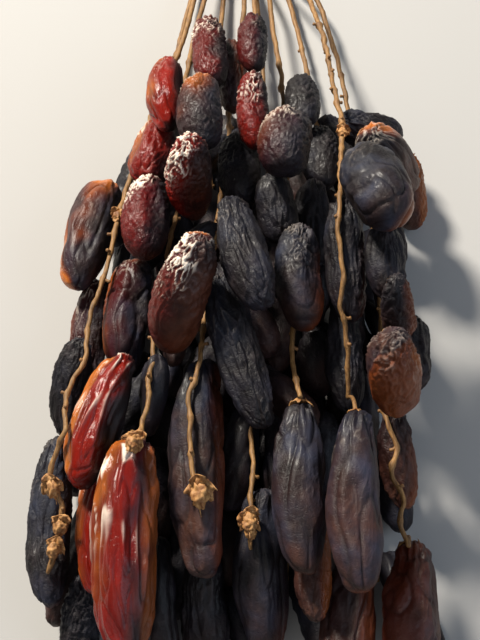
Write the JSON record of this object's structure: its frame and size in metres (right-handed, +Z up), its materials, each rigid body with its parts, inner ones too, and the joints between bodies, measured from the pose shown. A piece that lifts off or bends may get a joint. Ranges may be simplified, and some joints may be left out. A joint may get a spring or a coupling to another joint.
{
  "type": "cut bunch of dates",
  "caption": "Cut bunch of ripe, wrinkled dates hanging from thin strands that meet in one flat stalk, lying on its back.",
  "frame": {"origin": "on the surface that the bunch lies on, under the middle of its box", "axes": "+Y along the bunch towards the cut end of its stalk, +Z up from the surface, +X to the bunch's right as seen from above with the stalk away from the viewer"},
  "size_m": [0.1396, 0.3618, 0.0809],
  "materials": {
    "stalk": "fibrous golden tan stalk, fine lengthwise ridges, paler pithy cut",
    "strand": "thin knobbly yellow-brown strands with papery tan caps; the dates on them are dark skin",
    "date_skin_dark": "near-black purple-brown wrinkled skin with a soft sheen and a faint blue-grey bloom",
    "date_skin_red": "deep red translucent wrinkled skin, orange at thin rims, bright glints on its ridges",
    "date_skin_brown": "brown, smoother skin, grey-purple and wrinkled at the cap end",
    "date_skin_bloom": "dark skin under a dull blue-grey bloom, broad soft dents, brown lower end"
  },
  "bodies": {
    "root": {"stalk": "stalk", "date_middle_2": "date_skin_dark", "date_lower_1": "date_skin_dark", "date_bottom_4": "date_skin_dark", "date_bottom_6": "date_skin_dark", "date_bottom_2": "date_skin_dark", "date_bottom_10": "date_skin_brown", "date_bottom_9": "date_skin_dark", "date_bottom_12": "date_skin_dark", "date_upper_8": "date_skin_dark", "date_middle_7": "date_skin_dark", "date_lower_6": "date_skin_dark", "date_middle_9": "date_skin_dark", "date_middle_1": "date_skin_bloom", "date_middle_4": "date_skin_dark", "date_bottom_3": "date_skin_red", "date_bottom_1": "date_skin_bloom", "date_bottom_7": "date_skin_dark", "date_bottom_8": "date_skin_bloom", "date_bottom_11": "date_skin_dark", "date_bottom_13": "date_skin_brown", "date_bottom_5": "date_skin_bloom", "date_lower_2": "date_skin_red", "date_bottom_14": "date_skin_red", "date_upper_9": "date_skin_dark", "date_top_3": "date_skin_dark", "date_upper_11": "date_skin_dark", "date_lower_7": "date_skin_dark", "date_top_5": "date_skin_dark", "date_upper_5": "date_skin_dark", "date_top_4": "date_skin_dark", "date_upper_4": "date_skin_red", "date_upper_10": "date_skin_dark", "date_middle_10": "date_skin_dark", "date_middle_11": "date_skin_brown", "date_middle_6": "date_skin_dark", "date_lower_4": "date_skin_brown", "date_upper_7": "date_skin_dark", "date_lower_3": "date_skin_dark", "date_middle_8": "date_skin_bloom", "date_middle_5": "date_skin_dark", "date_upper_6": "date_skin_dark", "date_upper_1": "date_skin_red", "date_middle_3": "date_skin_red", "date_middle_12": "date_skin_red", "date_top_2": "date_skin_red", "date_top_1": "date_skin_red", "date_upper_2": "date_skin_dark", "date_upper_3": "date_skin_red", "back_spray_1": "strand", "back_spray_2": "strand", "back_spray_3": "strand", "back_spray_4": "strand", "strand_4": "strand", "strand_5": "strand", "strand_7": "strand", "strand_3": "strand", "strand_2": "strand", "strand_1": "strand", "strand_6": "strand"}
  },
  "joints": []
}
